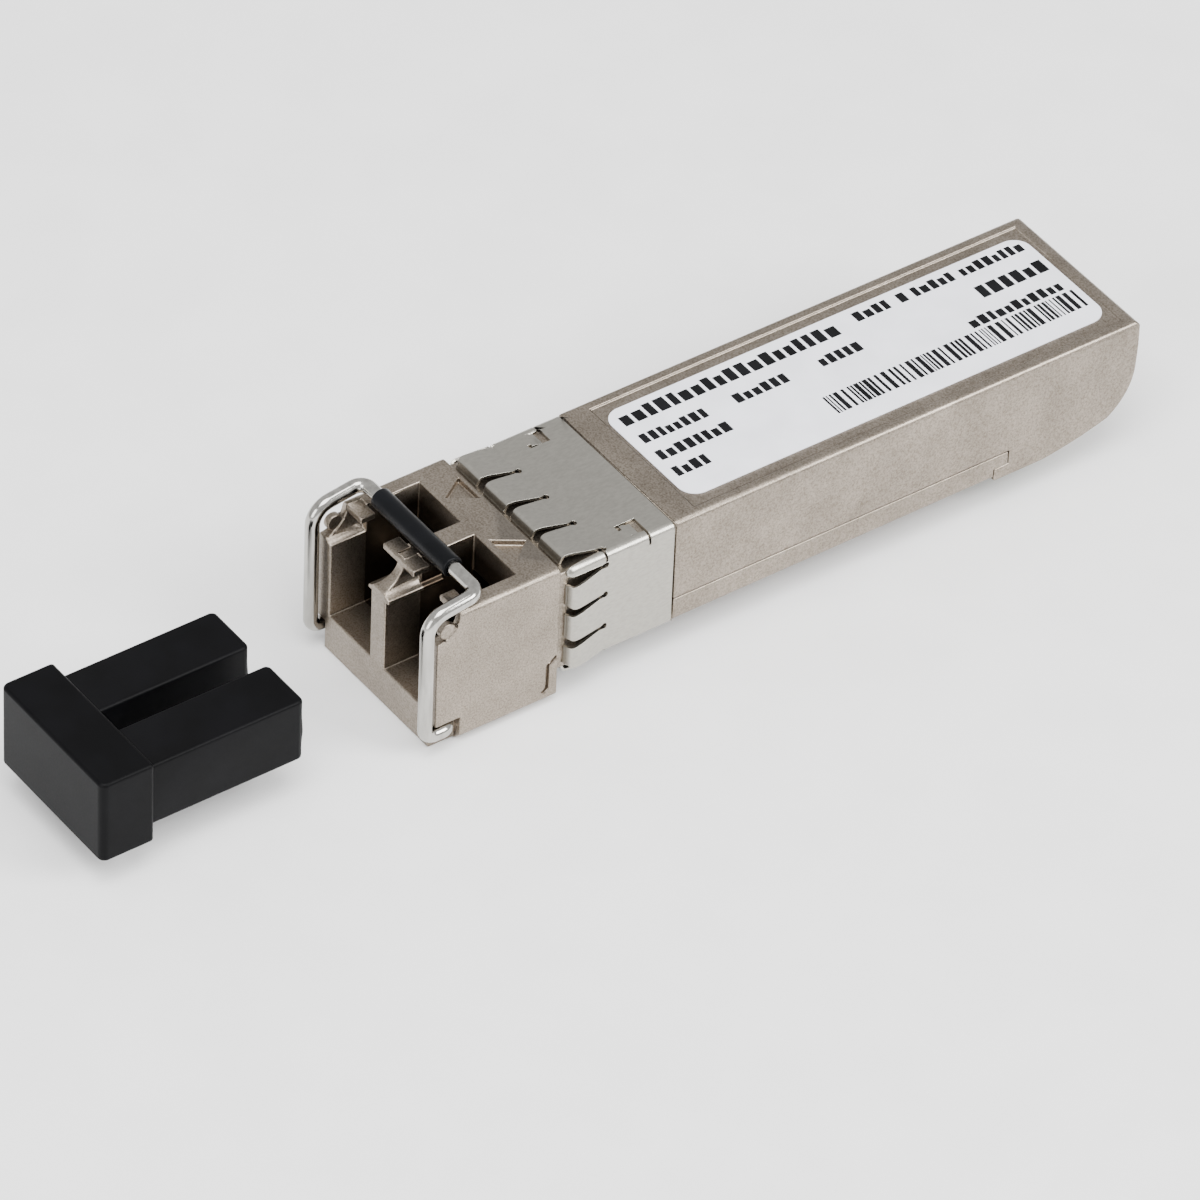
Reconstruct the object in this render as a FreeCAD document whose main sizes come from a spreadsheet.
"""Small form factor pluggable optical transceiver module with a duplex lens port.

Frame, in millimetres: +X is the module's right side seen from its ports, +Y runs from
the ports to the card edge, +Z is up.  The origin is on the centre line, on the cage's
floor plane (the flat underside behind the nose), in the plane where the nose stops
against the cage's mouth.
"""
import FreeCAD, Part
import Sketcher
import math
import os
import re

DIMENSIONS = (
    # the envelope that the cage sees
    ("body_width", 13.4, "width inside the cage"),
    ("body_top", 8.55, "height inside the cage"),
    ("body_rear", 47.6, "stop plane to the rear end"),
    ("neck_width", 12.9, "castings under the spring collar"),
    ("neck_top", 8.33, "top of the castings under the collar"),
    ("neck_base", 0.24, "underside of the castings under the collar"),
    ("collar_start", 0.95, "front tips of the collar's fingers"),
    ("collar_root", 4.2, "where the collar's fingers leave its band"),
    ("collar_end", 9.65, "rear edge of the collar's band"),
    ("collar_sheet", 0.2, "thickness of the collar's sheet"),
    ("collar_bow", 0.5, "how far a finger stands out at its crest"),
    ("collar_crest", 1.6, "crest of the fingers"),
    ("collar_shift", -0.15, "slots, from the middle of the top"),
    ("finger_pitch", 3.1, "from one finger to the next"),
    ("slot_width", 0.42, "gap between two fingers"),
    ("collar_corner", 0.45, "outer corners of the collar"),
    ("leaf_width", 2.3, "one finger on the sides"),
    ("leaf_base", 1.35, "middle of the lowest side finger"),
    ("leaf_pitch", 2.5, "from one side finger to the next"),
    ("under_place", 4.1, "fingers on the underside, from the middle"),
    ("tab_place", 4.75, "inner slit of a snap tab, from the middle"),
    ("tab_middle", 5.6, "middle of a snap tab, from the middle"),
    ("tab_front", 6.3, "front end of a snap tab's slit"),
    ("tab_rear", 7.7, "slit behind a snap tab"),
    ("tab_slit", 0.18, "width of a snap tab's slits"),
    ("tab_width", 1.9, "length of the slit behind a snap tab"),
    # the nose casting
    ("nose_width", 13.5, "width outside the cage"),
    ("nose_top", 9.0, "top of the nose"),
    ("nose_base", -2.2, "underside of the nose"),
    ("nose_front", -9.0, "front face of the nose"),
    ("nose_rear", 0.6, "rear shoulder of the nose"),
    ("nose_neck_end", 4.2, "rear end of the nose's neck"),
    ("brow", 1.8, "radius of the hollow over the front face"),
    ("port_pitch", 6.25, "distance between the two optical axes"),
    ("port_width", 4.65, "width of one port"),
    ("port_floor", 0.77, "floor of both ports"),
    ("port_roof", 6.0, "roof of both ports behind the latch windows"),
    ("port_ledge", 6.7, "ledge that the plug's latch runs above"),
    ("port_end", 0.4, "rear wall of both ports"),
    ("window_front", -6.2, "front edge of the latch windows"),
    ("window_rear", -2.1, "rear edge of the latch windows"),
    ("latch_slot", 2.6, "gap between the two latch shoulders of a port"),
    ("arrow_depth", 0.4, "depth of the direction arrows"),
    ("head_sheet", 0.5, "thickness of the latch shoulders"),
    ("ledge_half", 1.15, "half width of the divider's ledge"),
    ("web_half", 0.35, "half width of the web over the divider"),
    ("groove_depth", 0.35, "depth of the seam line on the nose's sides"),
    ("optic_height", 3.1, "height of the optical axes"),
    # the housing shells
    ("shell_start", 4.35, "front edge of both shells"),
    ("band_rear", 9.8, "where the shells widen behind the collar"),
    ("shell_wall", 1.0, "side walls"),
    ("shell_roof", 0.95, "roof of the upper shell"),
    ("seam_height", 2.07, "parting line between the shells"),
    ("seam_gap", 0.05, "gap at the parting line"),
    ("tray_end", 35.95, "rear edge of the lower shell's floor"),
    ("tab_end", 37.1, "rear edge of the lower shell's tab"),
    ("tab_base", 1.05, "underside of the lower shell's tab"),
    ("tray_floor", 0.9, "floor of the lower shell"),
    ("recess_front", 11.75, "front edge of the label recess"),
    ("recess_rear", 46.6, "rear edge of the label recess"),
    ("recess_width", 11.7, "width of the label recess"),
    ("recess_depth", 0.15, "depth of the label recess"),
    ("label_front", 12.0, "front edge of the label"),
    ("label_rear", 46.3, "rear edge of the label"),
    ("label_width", 10.0, "width of the label"),
    ("label_corner", 1.3, "rounded corners of the label"),
    ("label_sheet", 0.1, "thickness of the label"),
    ("post_front", 15.0, "front screw post"),
    ("post_rear", 33.5, "rear screw post"),
    ("post_radius", 1.05, "screw post"),
    ("screw_radius", 0.5, "screw shank"),
    ("screw_head", 0.95, "screw head"),
    # the bail
    ("wire_radius", 0.5, "bail wire"),
    ("pivot_y", -7.7, "bail pivot"),
    ("pivot_z", -0.6, "bail pivot"),
    ("leg_x", 6.55, "bail legs"),
    ("leg_y", -9.7, "bail legs"),
    ("bend_z", 9.35, "corner of the front bend"),
    ("bar_y", -5.75, "bail crossbar"),
    ("bar_z", 9.95, "bail crossbar"),
    ("foot_end", 4.25, "inner end of a foot"),
    ("crank", 0.35, "offset of the foot's cam end"),
    ("sleeve_radius", 0.75, "grip sleeve"),
    ("sleeve_left", -4.65, "left end of the grip sleeve"),
    ("sleeve_right", 3.65, "right end of the grip sleeve"),
    # the latch
    ("lever_pivot_y", -3.6, "lever pin"),
    ("lever_pivot_z", -0.9, "lever pin"),
    ("lever_pin_radius", 0.4, "lever pin"),
    ("running_gap", 0.05, "radial running clearance"),
    ("boss_shoulder", 2.5, "locking face of the latch boss"),
    ("boss_depth", 0.45, "how far the latch boss stands out"),
    ("boss_width", 2.6, "width of the latch boss"),
    ("lever_sheet", 0.4, "thickness of the lever's arms"),
    ("spring_top", 1.2, "roof of the lever pocket"),
    # the optics and the board
    ("barrel_radius", 1.4, "receptacle barrel"),
    ("barrel_front", -4.3, "mouth of the receptacle barrel"),
    ("sleeve_bore", 0.63, "ferrule bore"),
    ("can_end", 9.6, "rear of the optical cans"),
    ("board_front", 11.2, "front edge of the board"),
    ("board_rear", 44.3, "card edge"),
    ("board_base", 2.25, "underside of the board"),
    ("board_sheet", 1.0, "board thickness"),
    ("board_width", 11.0, "board width"),
    ("card_width", 9.2, "card edge width"),
    ("card_start", 36.0, "where the board narrows"),
    ("contact_pitch", 0.8, "card edge contacts"),
    ("contact_width", 0.5, "card edge contacts"),
    ("contact_length", 3.2, "card edge contacts"),
    # the dust plug
    ("plug_tip", -18.2, "tips of the prongs, pulled out"),
    ("prong_length", 11.9, "prongs"),
    ("prong_width", 4.2, "prongs"),
    ("prong_height", 5.0, "prongs"),
    ("prong_bore", 1.65, "hollow of a prong"),
    ("cap_width", 11.8, "head of the plug"),
    ("cap_depth", 4.0, "head of the plug"),
    ("cap_rise", 0.8, "how far the head stands over the prongs"),
    ("cap_drop", 0.75, "how far the head hangs below the prongs"),
)

doc = FreeCAD.newDocument("optical_transceiver_module")
sheet = doc.addObject("Spreadsheet::Sheet", "Dimensions")
for row, (alias, value, note) in enumerate(DIMENSIONS, start=1):
    sheet.set(f"A{row}", alias)
    sheet.set(f"B{row}", str(value))
    sheet.setAlias(f"B{row}", alias)
    sheet.set(f"C{row}", note)
doc.recompute()
ALIASES = {alias for alias, value, note in DIMENSIONS}
PLANES = {"XY": "XY_Plane", "XZ": "XZ_Plane", "YZ": "YZ_Plane"}
parts = []


def bind(text):
    """Turns the bare dimension names in an expression into references to the sheet."""
    return re.sub(r"[a-z_]+", lambda m: "Dimensions." + m[0] if m[0] in ALIASES else m[0], str(text))


def size(text):
    """The present value of an expression, in millimetres."""
    return float(sheet.evalExpression(bind(text)))


def keep(item, label):
    """Marks an object as a finished sub-part with its own label."""
    item.Label = label
    parts.append(item)
    return item


def block(x, y, z):
    """A box between two expressions along each axis."""
    item = doc.addObject("Part::Box", "block")
    for side, axis, (low, high) in (("Length", "x", x), ("Width", "y", y), ("Height", "z", z)):
        item.setExpression(side, bind(f"({high}) - ({low})"))
        item.setExpression(f"Placement.Base.{axis}", bind(low))
    return item


def rod(radius, start, length, along):
    """A cylinder from a start point along one of the axes."""
    item = doc.addObject("Part::Cylinder", "rod")
    item.Placement.Rotation = FreeCAD.Rotation(FreeCAD.Vector(0, 0, 1), FreeCAD.Vector(*along))
    item.setExpression("Radius", bind(radius))
    item.setExpression("Height", bind(length))
    for axis, value in zip("xyz", start):
        item.setExpression(f"Placement.Base.{axis}", bind(value))
    return item


def joined(items):
    """One solid out of several that touch."""
    fuse = doc.addObject("Part::MultiFuse", "joined")
    fuse.Shapes = items
    return fuse


def without(base, tools):
    """A solid with other solids taken away."""
    cut = doc.addObject("Part::Cut", "without")
    cut.Base = base
    cut.Tool = joined(tools) if len(tools) > 1 else tools[0]
    return cut


def group(items):
    """Several separate solids kept as one sub-part."""
    bundle = doc.addObject("Part::Compound", "group")
    bundle.Links = items
    return bundle


class Body:
    """A PartDesign body built from bound sketches on its own origin planes."""

    def __init__(self, label):
        self.body = doc.addObject("PartDesign::Body", label)
        keep(self.body, label)

    def sketch(self, plane, outlines, level):
        """A sketch at a level along the plane's own axis.

        An outline is ("circle", u, v, radius), or a list of corners (u, v) or
        (u, v, radius): a radius makes the side that follows an arc, positive when the
        arc bulges to the right of the way round.
        """
        item = self.body.newObject("Sketcher::SketchObject", "sketch")
        role = PLANES[plane]
        datum = next(f for f in self.body.Origin.OriginFeatures if f.Role == role)
        item.AttachmentSupport = [(datum, "")]
        item.MapMode = "FlatFace"
        sign = "-" if plane == "XZ" else ""
        item.setExpression("AttachmentOffset.Base.z", bind(f"{sign}({level})"))
        for outline in outlines:
            if outline[0] == "circle":
                self.circle(item, *outline[1:])
            else:
                self.outline(item, outline)
        return item

    def circle(self, item, u, v, radius):
        """One bound circle."""
        centre = FreeCAD.Vector(size(u), size(v), 0)
        index = item.addGeometry(Part.Circle(centre, FreeCAD.Vector(0, 0, 1), size(radius)))
        self.fix(item, index, 3, u, v)
        number = item.addConstraint(Sketcher.Constraint("Radius", index, size(radius)))
        item.setExpression(f"Constraints[{number}]", bind(radius))

    def fix(self, item, index, point, u, v):
        """Ties a point of the sketch to its distances from the origin."""
        for kind, text in (("DistanceX", u), ("DistanceY", v)):
            number = item.addConstraint(Sketcher.Constraint(kind, -1, 1, index, point, size(text)))
            item.setExpression(f"Constraints[{number}]", bind(text))

    def outline(self, item, corners):
        """A closed chain of lines and arcs through bound corners."""
        spots = [FreeCAD.Vector(size(c[0]), size(c[1]), 0) for c in corners]
        ends = []
        for number, corner in enumerate(corners):
            here = spots[number]
            there = spots[(number + 1) % len(spots)]
            if len(corner) == 2:
                index = item.addGeometry(Part.LineSegment(here, there))
                ends.append((index, 1, 2))
                continue
            radius = size(corner[2])
            half = (there - here) * 0.5
            rise = math.sqrt(radius ** 2 - half.Length ** 2)
            side = FreeCAD.Vector(-half.y, half.x, 0).normalize() * math.copysign(1, radius)
            centre = here + half + side * rise
            middle = centre - side * abs(radius)
            index = item.addGeometry(Part.Arc(here, middle, there))
            forward = (item.Geometry[index].StartPoint - here).Length < 1e-6
            ends.append((index, 1, 2) if forward else (index, 2, 1))
            number = item.addConstraint(Sketcher.Constraint("Radius", index, abs(radius)))
            item.setExpression(f"Constraints[{number}]", bind(f"abs({corner[2]})"))
        for number, (index, start, stop) in enumerate(ends):
            following = ends[(number + 1) % len(ends)]
            item.addConstraint(Sketcher.Constraint("Coincident", index, stop, following[0], following[1]))
            self.fix(item, index, start, corners[number][0], corners[number][1])

    def feature(self, kind, plane, outlines, low, high):
        """A pad or a pocket that fills the space between two levels."""
        start = high if plane == "XZ" else low
        profile = self.sketch(plane, outlines, start)
        item = self.body.newObject(f"PartDesign::{kind}", kind.lower())
        item.Profile = profile
        item.setExpression("Length", bind(f"({high}) - ({low})"))
        item.Reversed = kind == "Pocket"
        profile.Visibility = False
        self.body.Tip = item
        doc.recompute()
        return item

    def add(self, plane, outlines, low, high):
        """Adds the outlines, run from low to high."""
        return self.feature("Pad", plane, outlines, low, high)

    def cut(self, plane, outlines, low, high):
        """Takes the outlines away, run from low to high, and makes sure it took something."""
        before = self.body.Shape.Volume
        item = self.feature("Pocket", plane, outlines, low, high)
        if self.body.Shape.Volume > before - 1e-6:
            raise RuntimeError(f"{self.body.Label}: a pocket cut nothing")
        return item

    def spin(self, outline):
        """Turns an outline of (distance along Y, radius) corners about the Y axis."""
        profile = self.sketch("YZ", [outline], "0")
        item = self.body.newObject("PartDesign::Revolution", "revolution")
        item.Profile = profile
        item.ReferenceAxis = (profile, ["H_Axis"])
        item.Angle = 360
        self.body.Tip = item
        doc.recompute()
        return item

    def soften(self, kind, amount, chosen):
        """Fillets or chamfers every edge that the test picks."""
        base = self.body.Tip
        names = [f"Edge{n}" for n, edge in enumerate(base.Shape.Edges, start=1) if chosen(edge)]
        item = self.body.newObject(f"PartDesign::{kind}", kind.lower())
        item.Base = (base, names)
        item.setExpression("Radius" if kind == "Fillet" else "Size", bind(amount))
        self.body.Tip = item
        doc.recompute()
        return item


def frame_of(x, y):
    """The four corners of a rectangle between two expressions each way."""
    return [(x[0], y[0]), (x[1], y[0]), (x[1], y[1]), (x[0], y[1])]


def both(x):
    """The same span on the left and on the right of the centre line."""
    return ((f"-({x[1]})", f"-({x[0]})"), x)


def straight(edge, axis):
    """True for a straight edge along the given axis."""
    if len(edge.Vertexes) != 2 or not isinstance(edge.Curve, Part.Line):
        return False
    run = edge.Vertexes[1].Point - edge.Vertexes[0].Point
    return abs(abs(run.normalize().dot(FreeCAD.Vector(*axis))) - 1) < 1e-6


def centre(edge):
    """The middle of an edge's bounding box."""
    return edge.BoundBox.Center


def near(value, text):
    """True when a coordinate sits on an expression's value."""
    return abs(value - size(text)) < 0.02


# Spans that several pieces share, as pairs of expressions.
HALF_NOSE = "nose_width / 2"
THROAT_X = "nose_width / 2 - 0.6"
PORT = ("port_pitch / 2 - port_width / 2", "port_pitch / 2 + port_width / 2")
LATCH_SLOT = ("port_pitch / 2 - latch_slot / 2", "port_pitch / 2 + latch_slot / 2")
WALL_X = "body_width / 2 - shell_wall"


def cove(foot, top, low, high):
    """Corners of a hollow side that starts nearly level at the foot and ends upright at
    the top."""
    shares = [(1, 0), (0.55, 0.1), (0.22, 0.34), (0.04, 0.68), (0, 1)]
    return [(f"({top}) + (({foot}) - ({top})) * {across}", f"({low}) + (({high}) - ({low})) * {up}")
            for across, up in shares]


def nose_shell():
    """Die-cast nose: two ports, latch windows, bail seats and the lever's pocket."""
    made = Body("nose_shell")
    side = [("nose_front", "nose_base"), ("nose_rear", "nose_base"), ("nose_rear", "nose_top"),
            ("nose_front", "nose_top")]
    made.add("YZ", [side], f"-{HALF_NOSE}", HALF_NOSE)
    made.soften("Fillet", "0.45", lambda e: straight(e, (0, 1, 0)) and near(centre(e).z, "nose_top"))
    made.soften("Chamfer", "0.7", lambda e: straight(e, (0, 1, 0)) and near(centre(e).z, "nose_base"))
    neck = frame_of(("-neck_width / 2", "neck_width / 2"), ("neck_base", "neck_top"))
    made.add("XZ", [neck], "nose_rear", "nose_neck_end")

    mouths = [frame_of(x, ("port_floor", "port_ledge")) for x in both(PORT)]
    made.cut("XZ", mouths, "nose_front", "window_rear")
    depths = [frame_of(x, ("port_floor", "port_roof")) for x in both(PORT)]
    made.cut("XZ", depths, "window_rear", "port_end")
    windows = [frame_of(x, ("window_front", "window_rear")) for x in both(PORT)]
    made.cut("XY", windows, "port_ledge", "nose_top")
    throat = [frame_of(x, ("nose_front", "window_front")) for x in both(("web_half", THROAT_X))]
    made.cut("XY", throat, "port_ledge", "nose_top")
    step, crown = "port_ledge", "nose_top - 1"
    web = [("-ledge_half", f"{step} - 0.3"), ("ledge_half", f"{step} - 0.3")]
    web += cove("ledge_half", "web_half", step, crown)
    web += cove("-ledge_half", "-web_half", step, crown)[::-1]
    right = [(f"{THROAT_X} + 0.1", crown), (f"{THROAT_X} + 0.1", f"{step} - 0.1"),
             (PORT[1], f"{step} - 0.1")] + cove(PORT[1], THROAT_X, step, crown)
    left = [(f"-({u})", v) for u, v in right]
    for outline in (web, right, left):
        made.add("XZ", [outline], "nose_front", "window_front + 1.6")
    hollow = [("circle", "nose_front - 0.05", "nose_top - 0.15", "brow")]
    made.cut("YZ", hollow, f"-({HALF_NOSE}) - 1", f"{HALF_NOSE} + 1")

    head = frame_of(("-1.75", "1.75"), ("nose_front + 1.5", "window_front"))
    shoulders = [frame_of(x, ("nose_front + 1.65", "window_front")) for x in both((LATCH_SLOT[1], THROAT_X))]
    made.add("XY", [head] + shoulders, "nose_top - head_sheet", "nose_top - 0.02")
    detent = [("circle", "nose_front + 0.85", "nose_top - 1.2", "0.6")]
    for x in both((THROAT_X, f"{HALF_NOSE} - 0.05")):
        made.add("YZ", detent, x[0], x[1])
    seam = [("nose_rear", "1.6"), ("nose_rear", "1.85"), ("-0.3", "1.2"), ("-0.34", "-0.7"),
            ("-0.62", "-0.92"), ("-0.48", "-1.12"), ("-0.08", "-0.82"), ("-0.04", "1.08")]
    for x in both((f"{HALF_NOSE} - groove_depth", HALF_NOSE)):
        made.cut("YZ", [seam], x[0], x[1])

    arrows = [[("-4.45", "0.3"), ("-2.05", "0.3"), ("-3.25", "-1.55")],
              [("1.85", "-1.55"), ("4.45", "-1.55"), ("3.1", "0.3")]]
    made.cut("XY", arrows, "nose_top - arrow_depth", "nose_top")

    corner = frame_of(("nose_front", "pivot_y + 0.65"), ("nose_base", "pivot_z + 0.62"))
    for x in both(("leg_x - wire_radius - 0.1", HALF_NOSE)):
        made.cut("YZ", [corner], x[0], x[1])
    pivot = [("circle", "pivot_y", "pivot_z", "wire_radius + running_gap")]
    for x in both(("foot_end", "leg_x")):
        made.cut("YZ", pivot, x[0], x[1])
    made.cut("XY", [frame_of(("-5.5", "5.5"), ("nose_front + 0.35", "pivot_y + 1.3"))], "nose_base", "0.1")
    made.cut("XY", [frame_of(("-3.2", "3.2"), ("pivot_y + 1.2", "port_end"))], "nose_base", "0.3")
    tail = frame_of(("-1.75", "1.75"), ("port_end - 0.1", "nose_neck_end"))
    made.cut("XY", [tail], "nose_base", "spring_top")
    made.cut("YZ", [("circle", "lever_pivot_y", "lever_pivot_z", "lever_pin_radius + 0.02")], "-4.3", "4.3")
    barrels = [("circle", f"{sign}port_pitch / 2", "optic_height", "barrel_radius + 0.05")
               for sign in ("", "-")]
    made.cut("XZ", barrels, "port_end", "nose_neck_end")


def upper_shell():
    """Die-cast upper shell: roof, side walls, label recess and the rear skirts."""
    made = Body("upper_shell")
    rear = "body_rear"
    side = [("band_rear", "seam_height + seam_gap"), ("tab_end + seam_gap", "seam_height + seam_gap"),
            ("tab_end + seam_gap", "tab_base"), ("tray_end + seam_gap", "tab_base - seam_gap"),
            ("tray_end + seam_gap", "0"), (f"{rear} - 7.6", "0", "28"), (f"{rear} - 2.3", "1.15", "4.6"),
            (f"{rear} - 0.1", "4.7", "30"), (rear, "body_top - 0.3"), (f"{rear} - 0.3", "body_top"),
            ("band_rear", "body_top")]
    made.add("YZ", [side], "-body_width / 2", "body_width / 2")
    made.soften("Fillet", "0.4", lambda e: straight(e, (0, 1, 0)) and near(centre(e).z, "body_top"))
    neck = frame_of(("-neck_width / 2", "neck_width / 2"), ("seam_height + seam_gap", "neck_top"))
    made.add("XZ", [neck], "shell_start", "band_rear")
    inside = frame_of((f"-({WALL_X})", WALL_X), ("-1", "body_top - shell_roof"))
    made.cut("XZ", [inside], "shell_start - 1", "body_rear + 1")
    recess = frame_of(("-recess_width / 2", "recess_width / 2"), ("recess_front", "recess_rear"))
    made.cut("XY", [recess], "body_top - recess_depth", "body_top")
    posts = [("circle", "0", y, "post_radius") for y in ("post_front", "post_rear")]
    made.add("XY", posts, "seam_height + seam_gap", "body_top - shell_roof")
    pilots = [("circle", "0", y, "screw_radius") for y in ("post_front", "post_rear")]
    made.cut("XY", pilots, "seam_height", "5.2")


def lower_shell():
    """Die-cast lower shell: tray, rear tab, board rests and screw holes."""
    made = Body("lower_shell")
    side = [("band_rear", "0"), ("tray_end", "0"), ("tray_end", "tab_base - seam_gap"),
            ("tab_end", "tab_base"), ("tab_end", "seam_height"), ("band_rear", "seam_height")]
    made.add("YZ", [side], "-body_width / 2", "body_width / 2")
    made.soften("Chamfer", "0.45", lambda e: straight(e, (0, 1, 0)) and near(centre(e).z, "0"))
    neck = frame_of(("-neck_width / 2", "neck_width / 2"), ("neck_base", "seam_height"))
    made.add("XZ", [neck], "shell_start", "band_rear")
    made.cut("XZ", [frame_of((f"-({WALL_X})", WALL_X), ("tray_floor", "seam_height"))], "shell_start",
             "tab_end")
    made.cut("XY", [frame_of(("-1.75", "1.75"), ("shell_start", "6.1"))], "-1", "tray_floor")
    rests = [frame_of(x, y) for x in both(("4.5", WALL_X)) for y in (("18", "20"), ("29.5", "31.5"))]
    made.add("XY", rests, "tray_floor - 0.1", "board_base - 0.02")
    bosses = [("circle", "0", y, "1.5") for y in ("post_front", "post_rear")]
    made.add("XY", bosses, "tray_floor - 0.1", "seam_height")
    for y in ("post_front", "post_rear"):
        made.cut("XY", [("circle", "0", y, "screw_radius + 0.08")], "-0.5", "seam_height")
        made.cut("XY", [("circle", "0", y, "screw_head + 0.1")], "-0.5", "0.55")


def finger(width):
    """A bowed strip in the YZ plane, standing on z = 0 at its root, run along X."""
    root = size("collar_root")
    tip = size("collar_start")
    bow = size("collar_bow")
    sheet_gauge = size("collar_sheet")
    crest = size("collar_crest")
    dip = -0.02
    ridge = [(root + 0.1, 0), (crest + 0.25, bow), (crest - 0.1, bow - 0.04), (tip, dip)]
    outline = ridge + [(y, z - sheet_gauge * 0.9) for y, z in reversed(ridge)]
    edges = Part.makePolygon([FreeCAD.Vector(0, y, z) for y, z in outline + outline[:1]])
    strip = Part.Face(Part.Wire(edges)).extrude(FreeCAD.Vector(width, 0, 0))
    strip.translate(FreeCAD.Vector(-width / 2, 0, 0))
    return strip


def emi_collar():
    """Stamped spring collar: a band round the shells with a row of bowed fingers each side."""
    gauge = size("collar_sheet")
    half = size("body_width") / 2
    low, high = 0.0, size("body_top")
    root, end = size("collar_root"), size("collar_end")
    slot = size("slot_width")
    outer = Part.makeBox(2 * half, end - root, high - low, FreeCAD.Vector(-half, root, low))
    outer = outer.makeFillet(size("collar_corner"), [e for e in outer.Edges if straight(e, (0, 1, 0))])
    inner = Part.makeBox(2 * (half - gauge), end - root + 2, high - low - 2 * gauge,
                         FreeCAD.Vector(gauge - half, root - 1, low + gauge))
    band = outer.cut(inner)
    pitch = size("finger_pitch")
    fingers = []
    for number in range(4):
        place = (number - 1.5) * pitch + size("collar_shift")
        top = finger(pitch - slot)
        top.translate(FreeCAD.Vector(place, 0, high))
        fingers.append(top)
    for sign in (-1, 1):
        for level in range(3):
            height = size("leaf_base") + level * size("leaf_pitch")
            leaf = finger(size("leaf_width"))
            leaf.rotate(FreeCAD.Vector(), FreeCAD.Vector(0, 1, 0), 90 * sign)
            leaf.translate(FreeCAD.Vector(sign * half, 0, height))
            fingers.append(leaf)
        under = finger(pitch - slot)
        under.rotate(FreeCAD.Vector(), FreeCAD.Vector(0, 1, 0), 180)
        under.translate(FreeCAD.Vector(sign * size("under_place"), 0, low))
        fingers.append(under)
    shape = band.multiFuse(fingers)
    window = Part.makeBox(4.0, 2.0, 1.0, FreeCAD.Vector(-2.0, root - 0.2, low - 0.5))
    slit, wide = size("tab_slit"), size("tab_width")
    front, rear = size("tab_front"), size("tab_rear")
    tabs = []
    for sign in (-1, 1):
        stem = Part.makeBox(slit, rear - front, 1)
        stem.translate(FreeCAD.Vector(sign * size("tab_place") - slit / 2, front, high - 0.5))
        cross = Part.makeBox(wide, slit, 1)
        cross.translate(FreeCAD.Vector(sign * size("tab_middle") - wide / 2, rear, high - 0.5))
        tabs += [cross, stem]
    shape = shape.cut(tabs + [window])
    item = doc.addObject("Part::Feature", "collar")
    item.Shape = shape.removeSplitter()
    keep(item, "emi_collar")


def product_label():
    """Printed label in its recess."""
    made = Body("product_label")
    face = frame_of(("-label_width / 2", "label_width / 2"), ("label_front", "label_rear"))
    made.add("XY", [face], "body_top - recess_depth + 0.01", "body_top - recess_depth + label_sheet")
    made.soften("Fillet", "label_corner", lambda e: straight(e, (0, 0, 1)))


def bent_wire(corners, bends, radius):
    """A round wire along straight runs joined by tangent arcs."""
    spots = [FreeCAD.Vector(*corner) for corner in corners]
    edges = []
    start = spots[0]
    for before, corner, after, bend in zip(spots, spots[1:], spots[2:], bends):
        back = (before - corner).normalize()
        ahead = (after - corner).normalize()
        half_turn = (math.pi - back.getAngle(ahead)) / 2
        reach = bend * math.tan(half_turn)
        inward = (back + ahead).normalize()
        middle = corner + inward * (bend / math.cos(half_turn) - bend)
        edges.append(Part.makeLine(start, corner + back * reach))
        edges.append(Part.Arc(corner + back * reach, middle, corner + ahead * reach).toShape())
        start = corner + ahead * reach
    edges.append(Part.makeLine(start, spots[-1]))
    path = Part.Wire(edges)
    section = Part.Wire(Part.makeCircle(radius, spots[0], spots[1] - spots[0]))
    return path.makePipeShell([section], True, True)


def bail():
    """Bail: one bent steel wire with cam ends, and a grip sleeve on its crossbar."""
    foot, leg, cam = size("foot_end"), size("leg_x"), size("pivot_y") - size("crank")
    pivot_y, pivot_z = size("pivot_y"), size("pivot_z")
    leg_y, bend_z = size("leg_y"), size("bend_z")
    bar_y, bar_z = size("bar_y"), size("bar_z")
    half = [(foot, cam, pivot_z), (foot + 0.75, cam, pivot_z), (foot + 0.95, pivot_y, pivot_z),
            (leg, pivot_y, pivot_z), (leg, leg_y, pivot_z), (leg, leg_y, bend_z), (leg, bar_y, bar_z)]
    mirrored = [(-x, y, z) for x, y, z in reversed(half)]
    bends = [0.12, 0.12, 0.7, 0.75, 1.5, 0.85]
    item = doc.addObject("Part::Feature", "wire")
    item.Shape = bent_wire(half + mirrored, bends + bends[::-1], size("wire_radius"))
    keep(item, "bail_wire")
    tube = rod("sleeve_radius", ("sleeve_left", "bar_y", "bar_z"), "sleeve_right - sleeve_left", (1, 0, 0))
    bore = rod("wire_radius + 0.02", ("sleeve_left - 1", "bar_y", "bar_z"),
               "sleeve_right - sleeve_left + 2", (1, 0, 0))
    keep(without(tube, [bore]), "bail_sleeve")


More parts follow.
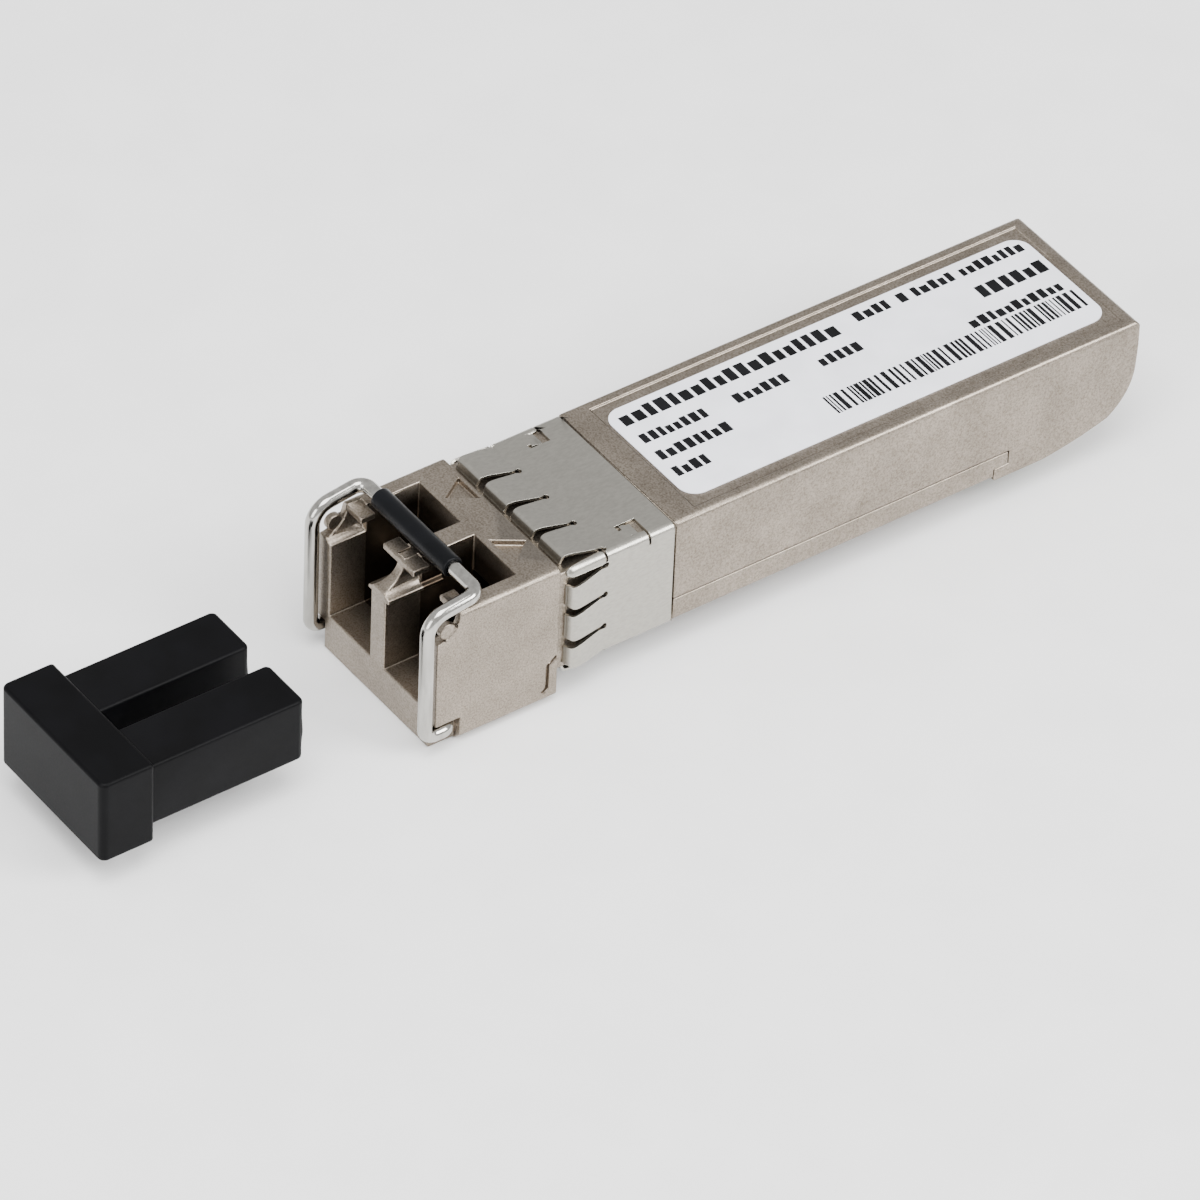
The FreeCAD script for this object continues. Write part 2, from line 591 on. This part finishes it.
def latch():
    """Rocking latch lever with the locking boss, its pin and its return spring."""
    made = Body("latch_lever")
    top = "pivot_z - wire_radius - 0.12"
    front = "nose_front + 0.5"
    arm = [(front, f"{top} - lever_sheet"), ("lever_pivot_y - 0.9", "lever_pivot_z - 0.85"),
           ("lever_pivot_y + 1.2", "lever_pivot_z - 0.3"), ("0.2", "-0.6"), ("0.6", "0"),
           ("5.3", "0"), ("5.3", "lever_sheet - 0.05"), ("0.65", "lever_sheet - 0.05"), ("0.3", "-0.2"),
           ("lever_pivot_y", "lever_pivot_z + 0.85"), ("lever_pivot_y - 1.2", top), (front, top)]
    made.add("YZ", [arm], "-1.3", "1.3")
    hub = [("circle", "lever_pivot_y", "lever_pivot_z", "0.85")]
    made.add("YZ", hub, "-2.9", "2.9")
    bar = frame_of((front, f"{front} + 0.9"), (f"{top} - lever_sheet", top))
    made.add("YZ", [bar], "-5.2", "5.2")
    boss = [("boss_shoulder", "0.1"), ("boss_shoulder", "-boss_depth"),
            ("boss_shoulder + 0.7", "-boss_depth"), ("boss_shoulder + 2.6", "0"),
            ("boss_shoulder + 2.6", "0.1")]
    made.add("YZ", [boss], "-boss_width / 2", "boss_width / 2")
    hole = ("circle", "lever_pivot_y", "lever_pivot_z", "lever_pin_radius + running_gap")
    made.cut("YZ", [hole], "-3", "3")
    keep(rod("lever_pin_radius", ("-4.25", "lever_pivot_y", "lever_pivot_z"), "8.5", (1, 0, 0)), "lever_pin")

    coil = doc.addObject("Part::Feature", "coil")
    low, high = size("lever_sheet") + 0.07, size("spring_top") - 0.12
    turns = 2.5
    helix = Part.makeHelix((high - low) / turns, high - low, 0.5)
    section = Part.Wire(Part.makeCircle(0.09, FreeCAD.Vector(0.5, 0, 0), FreeCAD.Vector(0, 1, 0)))
    coil.Shape = Part.Wire(helix).makePipeShell([section], True, True)
    coil.Placement.Base = FreeCAD.Vector(0, 3.0, low)
    keep(coil, "lever_spring")


def optics(name, sign):
    """One optical sub-assembly: receptacle barrel, split sleeve, can and flexible circuit."""
    centre_x = f"{sign}port_pitch / 2"
    radius = "barrel_radius"
    barrel = Body(f"{name}_barrel")
    barrel.spin([("barrel_front", "sleeve_bore + 0.22"), ("barrel_front", f"{radius} - 0.15"),
                 ("barrel_front + 0.15", radius), ("shell_start", radius), ("shell_start", "1.75"),
                 ("shell_start + 0.9", "1.75"), ("shell_start + 0.9", "0.3"), ("2.6", "0.3"),
                 ("2.6", "sleeve_bore + 0.22")])
    sleeve = Body(f"{name}_sleeve")
    sleeve.spin([("barrel_front + 0.25", "sleeve_bore"), ("barrel_front + 0.25", "sleeve_bore + 0.2"),
                 ("2.55", "sleeve_bore + 0.2"), ("2.55", "sleeve_bore")])
    can = Body(f"{name}_can")
    can.spin([("shell_start + 0.95", "0"), ("shell_start + 0.95", "1.55"), ("6.6", "1.55"), ("6.6", "1.9"),
              ("can_end - 0.35", "1.9"), ("can_end - 0.35", "1.7"), ("can_end", "1.7"), ("can_end", "0")])
    flex = Body(f"{name}_flex")
    board_top = "board_base + board_sheet - optic_height"
    strip = [("can_end + 0.05", "-1.2"), ("can_end + 0.2", "-1.2"), ("can_end + 0.2", "0.1"),
             ("board_front + 0.2", f"{board_top} + 0.02"), ("board_front + 1.8", f"{board_top} + 0.02"),
             ("board_front + 1.8", f"{board_top} + 0.14"), ("board_front + 0.1", f"{board_top} + 0.14"),
             ("can_end + 0.05", "0.3")]
    flex.add("YZ", [strip], "-1.5", "1.5")
    for piece in (barrel, sleeve, can, flex):
        piece.body.setExpression("Placement.Base.x", bind(centre_x))
        piece.body.setExpression("Placement.Base.z", bind("optic_height"))


def optics_clamp():
    """Moulded clamp that holds both optical cans down in the shells."""
    made = Body("optics_clamp")
    made.add("XZ", [frame_of(("-5.5", "5.5"), ("optic_height + 0.1", "7.4"))], "6.9", "8.9")
    saddles = [("circle", f"{sign}port_pitch / 2", "optic_height", "1.95") for sign in ("", "-")]
    made.cut("XZ", saddles, "6.9", "8.9")
    made.cut("XZ", [frame_of(("-4.3", "4.3"), ("5.6", "7.4"))], "6.9", "8.9")


def circuit_board():
    """Board with the narrower card edge, screw post holes and its gold contacts."""
    made = Body("circuit_board")
    wide, slim = "board_width / 2", "card_width / 2"
    edge = [(f"-{wide}", "board_front"), (wide, "board_front"), (wide, "card_start"),
            (slim, "card_start + 0.8"), (slim, "board_rear - 0.4"), (f"{slim} - 0.4", "board_rear"),
            (f"0.4 - {slim}", "board_rear"), (f"-{slim}", "board_rear - 0.4"),
            (f"-{slim}", "card_start + 0.8"), (f"-{wide}", "card_start")]
    made.add("XY", [edge], "board_base", "board_base + board_sheet")
    holes = [("circle", "0", y, "post_radius + 0.5") for y in ("post_front", "post_rear")]
    made.cut("XY", holes, "board_base", "board_base + board_sheet")
    made.soften("Chamfer", "0.25", lambda e: straight(e, (1, 0, 0)) and near(centre(e).y, "board_rear"))
    pads = []
    span = ("board_rear - 0.4 - contact_length", "board_rear - 0.4")
    for number in range(10):
        place = f"({number} - 4.5) * contact_pitch"
        across = (f"{place} - contact_width / 2", f"{place} + contact_width / 2")
        pads.append(block(across, span, ("board_base + board_sheet", "board_base + board_sheet + 0.04")))
        pads.append(block(across, span, ("board_base - 0.04", "board_base")))
    keep(group(pads), "edge_contacts")


def chip(label, x, y, wide, long, tall):
    """A moulded package standing on the board, with a chamfered top."""
    made = Body(label)
    face = frame_of((f"{x} - {wide} / 2", f"{x} + {wide} / 2"), (f"{y} - {long} / 2", f"{y} + {long} / 2"))
    made.add("XY", [face], "board_base + board_sheet + 0.03", f"board_base + board_sheet + 0.03 + {tall}")
    high = size(f"board_base + board_sheet + 0.03 + {tall}")
    made.soften("Chamfer", "0.1", lambda e: abs(e.BoundBox.ZMin - high) < 0.01)


def electronics():
    """Packages and passives on the board, and the pad that takes heat to the roof."""
    chip("laser_driver", 0, 20.5, 4.0, 4.0, 0.85)
    chip("signal_retimer", 0, 27.0, 4.5, 4.5, 0.9)
    chip("microcontroller", 3.3, 32.0, 3.0, 3.0, 0.75)
    chip("memory_chip", -3.5, 32.0, 2.0, 3.0, 0.75)
    chip("clock_crystal", -3.6, 36.2, 1.6, 2.0, 0.6)
    floor = "board_base + board_sheet + 0.02"
    chips = []
    for x, y in ((-4.2, 18.5), (-4.2, 20.5), (-4.2, 22.5), (4.2, 18.5), (4.2, 20.5), (4.2, 22.5),
                 (-3.8, 25.5), (3.8, 25.5), (3.6, 28.6), (-3.6, 28.6), (0.9, 37.5), (-0.9, 37.5)):
        chips.append(block((f"{x} - 0.25", f"{x} + 0.25"), (f"{y} - 0.5", f"{y} + 0.5"),
                           (floor, f"{floor} + 0.5")))
    keep(group(chips), "capacitors")
    coils = [block((f"{x} - 0.6", f"{x} + 0.6"), (f"{y} - 0.8", f"{y} + 0.8"), (floor, f"{floor} + 0.9"))
             for x, y in ((-1.6, 23.9), (1.6, 23.9), (3.4, 36.4))]
    keep(group(coils), "inductors")
    pad_floor = "board_base + board_sheet + 0.95"
    keep(block(("-2.6", "2.6"), ("18", "30"), (pad_floor, "body_top - shell_roof - 0.02")), "thermal_pad")


def housing_screws():
    """Two flat-head screws that pull the shells together."""
    screws = []
    for y in ("post_front", "post_rear"):
        shank = rod("screw_radius - 0.03", ("0", y, "0.5"), "4.4", (0, 0, 1))
        head = rod("screw_head", ("0", y, "0.05"), "0.45", (0, 0, 1))
        slot = block(("-0.7", "0.7"), (f"{y} - 0.1", f"{y} + 0.1"), ("0", "0.25"))
        cross = block(("-0.1", "0.1"), (f"{y} - 0.7", f"{y} + 0.7"), ("0", "0.25"))
        screws.append(without(joined([shank, head]), [slot, cross]))
    keep(group(screws), "housing_screws")


def emi_gasket():
    """Conductive foam frame between the nose and the cans."""
    outer = block(("-5.6", "5.6"), ("shell_start + 0.05", "shell_start + 0.85"), ("tray_floor + 0.25", "7.5"))
    holes = [rod("1.8", (f"{sign}port_pitch / 2", "shell_start - 1", "optic_height"), "3", (0, 1, 0))
             for sign in ("", "-")]
    keep(without(outer, holes), "emi_gasket")


def dust_plug():
    """Moulded dust plug: a head and two hollow prongs, pulled out in front of the ports."""
    made = Body("dust_plug")
    root = "plug_tip - prong_length"
    low, high = "port_floor + 0.08", "port_floor + 0.08 + prong_height"
    head = frame_of(("-cap_width / 2", "cap_width / 2"), (f"{root} - cap_depth", root))
    made.add("XY", [head], f"{low} - cap_drop", f"{high} + cap_rise")
    made.soften("Fillet", "0.55", lambda e: straight(e, (0, 0, 1)) and centre(e).y < size(root) - 1)
    prong = ("port_pitch / 2 - prong_width / 2", "port_pitch / 2 + prong_width / 2")
    made.add("XZ", [frame_of(x, (low, high)) for x in both(prong)], root, "plug_tip")
    made.soften("Fillet", "0.45", lambda e: straight(e, (0, 0, 1)) and near(centre(e).y, "plug_tip"))
    bores = [("circle", f"{sign}port_pitch / 2", "optic_height", "prong_bore") for sign in ("", "-")]
    made.cut("XZ", bores, f"{root} + 2.0", "plug_tip")


def main():
    """Builds every sub-part, checks them and writes one file for each."""
    nose_shell()
    upper_shell()
    lower_shell()
    emi_collar()
    product_label()
    bail()
    latch()
    optics("transmitter", "-")
    optics("receiver", "")
    optics_clamp()
    circuit_board()
    electronics()
    housing_screws()
    emi_gasket()
    dust_plug()
    doc.recompute()
    for item in doc.Objects:
        if {"Invalid", "Error"} & set(item.State):
            raise RuntimeError(f"{item.Label} did not rebuild: {item.State}")
    os.makedirs("parts", exist_ok=True)
    for item in parts:
        if item.Shape.isNull() or not item.Shape.isValid():
            raise RuntimeError(f"{item.Label} has no valid shape")
        item.Shape.exportStep(f"parts/{item.Label}.step")
        print(f"{item.Label:24s} {item.Shape.Volume:10.3f} mm3, solids {len(item.Shape.Solids)}")


main()
